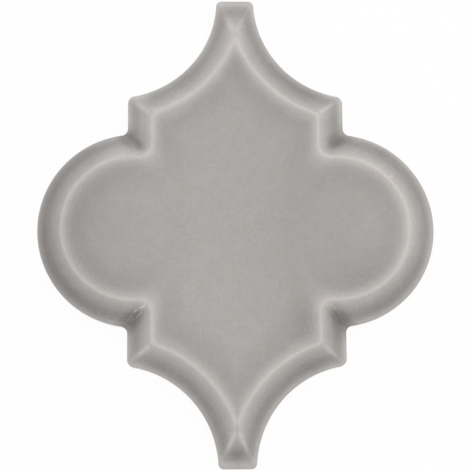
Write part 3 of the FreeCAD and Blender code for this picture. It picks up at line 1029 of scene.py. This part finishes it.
def floor_material(studio):
    """Pale matt floor that reads as white paper but keeps the tile's shadow."""
    material, tree, shader, add = new_material("studio_floor")
    link = tree.links.new
    shader.inputs["Base Color"].default_value = (*studio.floor, 1.0)
    shader.inputs["Roughness"].default_value = 1.0
    shader.inputs["Specular IOR Level"].default_value = 0.0
    paper = add("ShaderNodeEmission", Strength=1.0)
    part = add("ShaderNodeMath")
    part.operation = "MULTIPLY"
    part.inputs[1].default_value = studio.floor_glow
    link(seen_directly(add, link), part.inputs[0])
    mix = add("ShaderNodeMixShader")
    link(part.outputs["Value"], mix.inputs["Fac"])
    link(shader.outputs["BSDF"], mix.inputs[1])
    link(paper.outputs["Emission"], mix.inputs[2])
    link(mix.outputs["Shader"], tree.nodes["Material Output"].inputs["Surface"])
    return material


def set_world(studio):
    """White where it is seen directly, and a plain dimmer light all round."""
    world = bpy.data.worlds.new("studio")
    world.use_nodes = True
    tree = world.node_tree
    link = tree.links.new
    room = tree.nodes["Background"]
    room.inputs["Strength"].default_value = studio.ambient
    room.inputs["Color"].default_value = WHITE
    white = tree.nodes.new("ShaderNodeBackground")
    white.inputs["Color"].default_value = WHITE
    mix = tree.nodes.new("ShaderNodeMixShader")
    link(seen_directly(tree.nodes.new, link), mix.inputs["Fac"])
    link(room.outputs["Background"], mix.inputs[1])
    link(white.outputs["Background"], mix.inputs[2])
    link(mix.outputs["Shader"], tree.nodes["World Output"].inputs["Surface"])
    bpy.context.scene.world = world


def add_lamp(name, place, side, power, tint):
    """A square soft light that faces the tile."""
    light = bpy.data.lights.new(name, "AREA")
    light.shape = "SQUARE"
    light.size = side
    light.energy = power
    light.color = tint
    lamp = bpy.data.objects.new(name, light)
    lamp.location = place
    lamp.rotation_euler = (-Vector(place)).to_track_quat("-Z", "Y").to_euler()
    bpy.context.scene.collection.objects.link(lamp)


def add_camera(studio):
    """A long lens above the tile, leaning towards the lower spire, that frames it as the photograph does."""
    lens = bpy.data.cameras.new("camera")
    lens.sensor_width = SENSOR
    lens.lens = SENSOR * studio.image_scale * studio.camera_distance / IMAGE_SIDE
    lens.clip_start = NEAREST_SIGHT
    camera = bpy.data.objects.new("camera", lens)
    level = math.cos(studio.camera_tilt)
    lean = Vector((
        -math.sin(studio.camera_side) * level,
        -math.sin(studio.camera_tilt),
        math.cos(studio.camera_side) * level,
    ))
    right = Vector((0.0, 1.0, 0.0)).cross(lean).normalized()
    up = lean.cross(right)
    camera.location = Vector((studio.aim_x, studio.aim_y, 0.0)) + lean * studio.camera_distance
    turn = Matrix((right, up, lean)).transposed().to_quaternion()
    turn.rotate(Quaternion(lean, studio.camera_roll))
    camera.rotation_euler = turn.to_euler()
    bpy.context.scene.collection.objects.link(camera)
    bpy.context.scene.camera = camera


class TILE_OT_glazed_tile(Operator):
    """Build the glazed tile over the CAD part's box"""

    bl_idname = "tile.glazed_tile"
    bl_label = "Glazed tile"

    def execute(self, context):
        settings = context.scene.arabesque_tile
        plan = Plan(settings.sizes)
        rows = tile_rows(plan)
        tile = add_mesh(PIECE, rows, grid_faces(*rows.shape[:2]).tolist())
        press_grooves(tile, plan)
        finish_surface(tile.data, plan, glaze_material(settings.finish), clay_material(settings.finish))
        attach(tile, BODY)
        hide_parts(NODE)
        return {"FINISHED"}


class TILE_OT_studio(Operator):
    """Lay the floor, set the lights and place the camera"""

    bl_idname = "tile.studio"
    bl_label = "Studio"

    def execute(self, context):
        studio = context.scene.arabesque_tile.studio
        context.scene.view_settings.view_transform = "Standard"
        angles = np.arange(FLOOR_SIDES) * 2 * math.pi / FLOOR_SIDES
        below = np.full(FLOOR_SIDES, -FLOOR_GAP)
        ring = np.stack([FLOOR_RADIUS * np.cos(angles), FLOOR_RADIUS * np.sin(angles), below], axis=-1)
        floor = add_mesh("floor", ring, [list(range(FLOOR_SIDES))])
        floor.data.materials.append(floor_material(studio))
        set_world(studio)
        add_lamp("key_light", KEY_PLACE, KEY_SIDE, studio.key_power, studio.key_tint)
        add_lamp("window_light", WINDOW_PLACE, WINDOW_SIDE, studio.window_power, studio.window_tint)
        add_lamp("pane_light", PANE_PLACE, PANE_SIDE, studio.pane_power, studio.window_tint)
        add_camera(studio)
        return {"FINISHED"}


class TILE_PT_panel(Panel):
    """Sizes, finish and studio of the tile"""

    bl_idname = "TILE_PT_panel"
    bl_label = "Arabesque tile"
    bl_space_type = "VIEW_3D"
    bl_region_type = "UI"
    bl_category = "Tile"

    def draw(self, context):
        settings = context.scene.arabesque_tile
        for group in (settings.sizes, settings.finish, settings.studio):
            box = self.layout.box()
            for name in group.__annotations__:
                box.prop(group, name)
        self.layout.operator(TILE_OT_glazed_tile.bl_idname)
        self.layout.operator(TILE_OT_studio.bl_idname)


class TileSettings(PropertyGroup):
    """All that a user would change."""

    sizes: PointerProperty(type=TileSizes)
    finish: PointerProperty(type=GlazeFinish)
    studio: PointerProperty(type=StudioSetup)


CLASSES = (
    TileSizes,
    GlazeFinish,
    StudioSetup,
    TileSettings,
    TILE_OT_glazed_tile,
    TILE_OT_studio,
    TILE_PT_panel,
)


def register():
    for cls in CLASSES:
        bpy.utils.register_class(cls)
    bpy.types.Scene.arabesque_tile = PointerProperty(type=TileSettings)


def unregister():
    del bpy.types.Scene.arabesque_tile
    for cls in reversed(CLASSES):
        bpy.utils.unregister_class(cls)


def main():
    register()
    bpy.ops.tile.glazed_tile()
    bpy.ops.tile.studio()


if __name__ == "__main__":
    main()
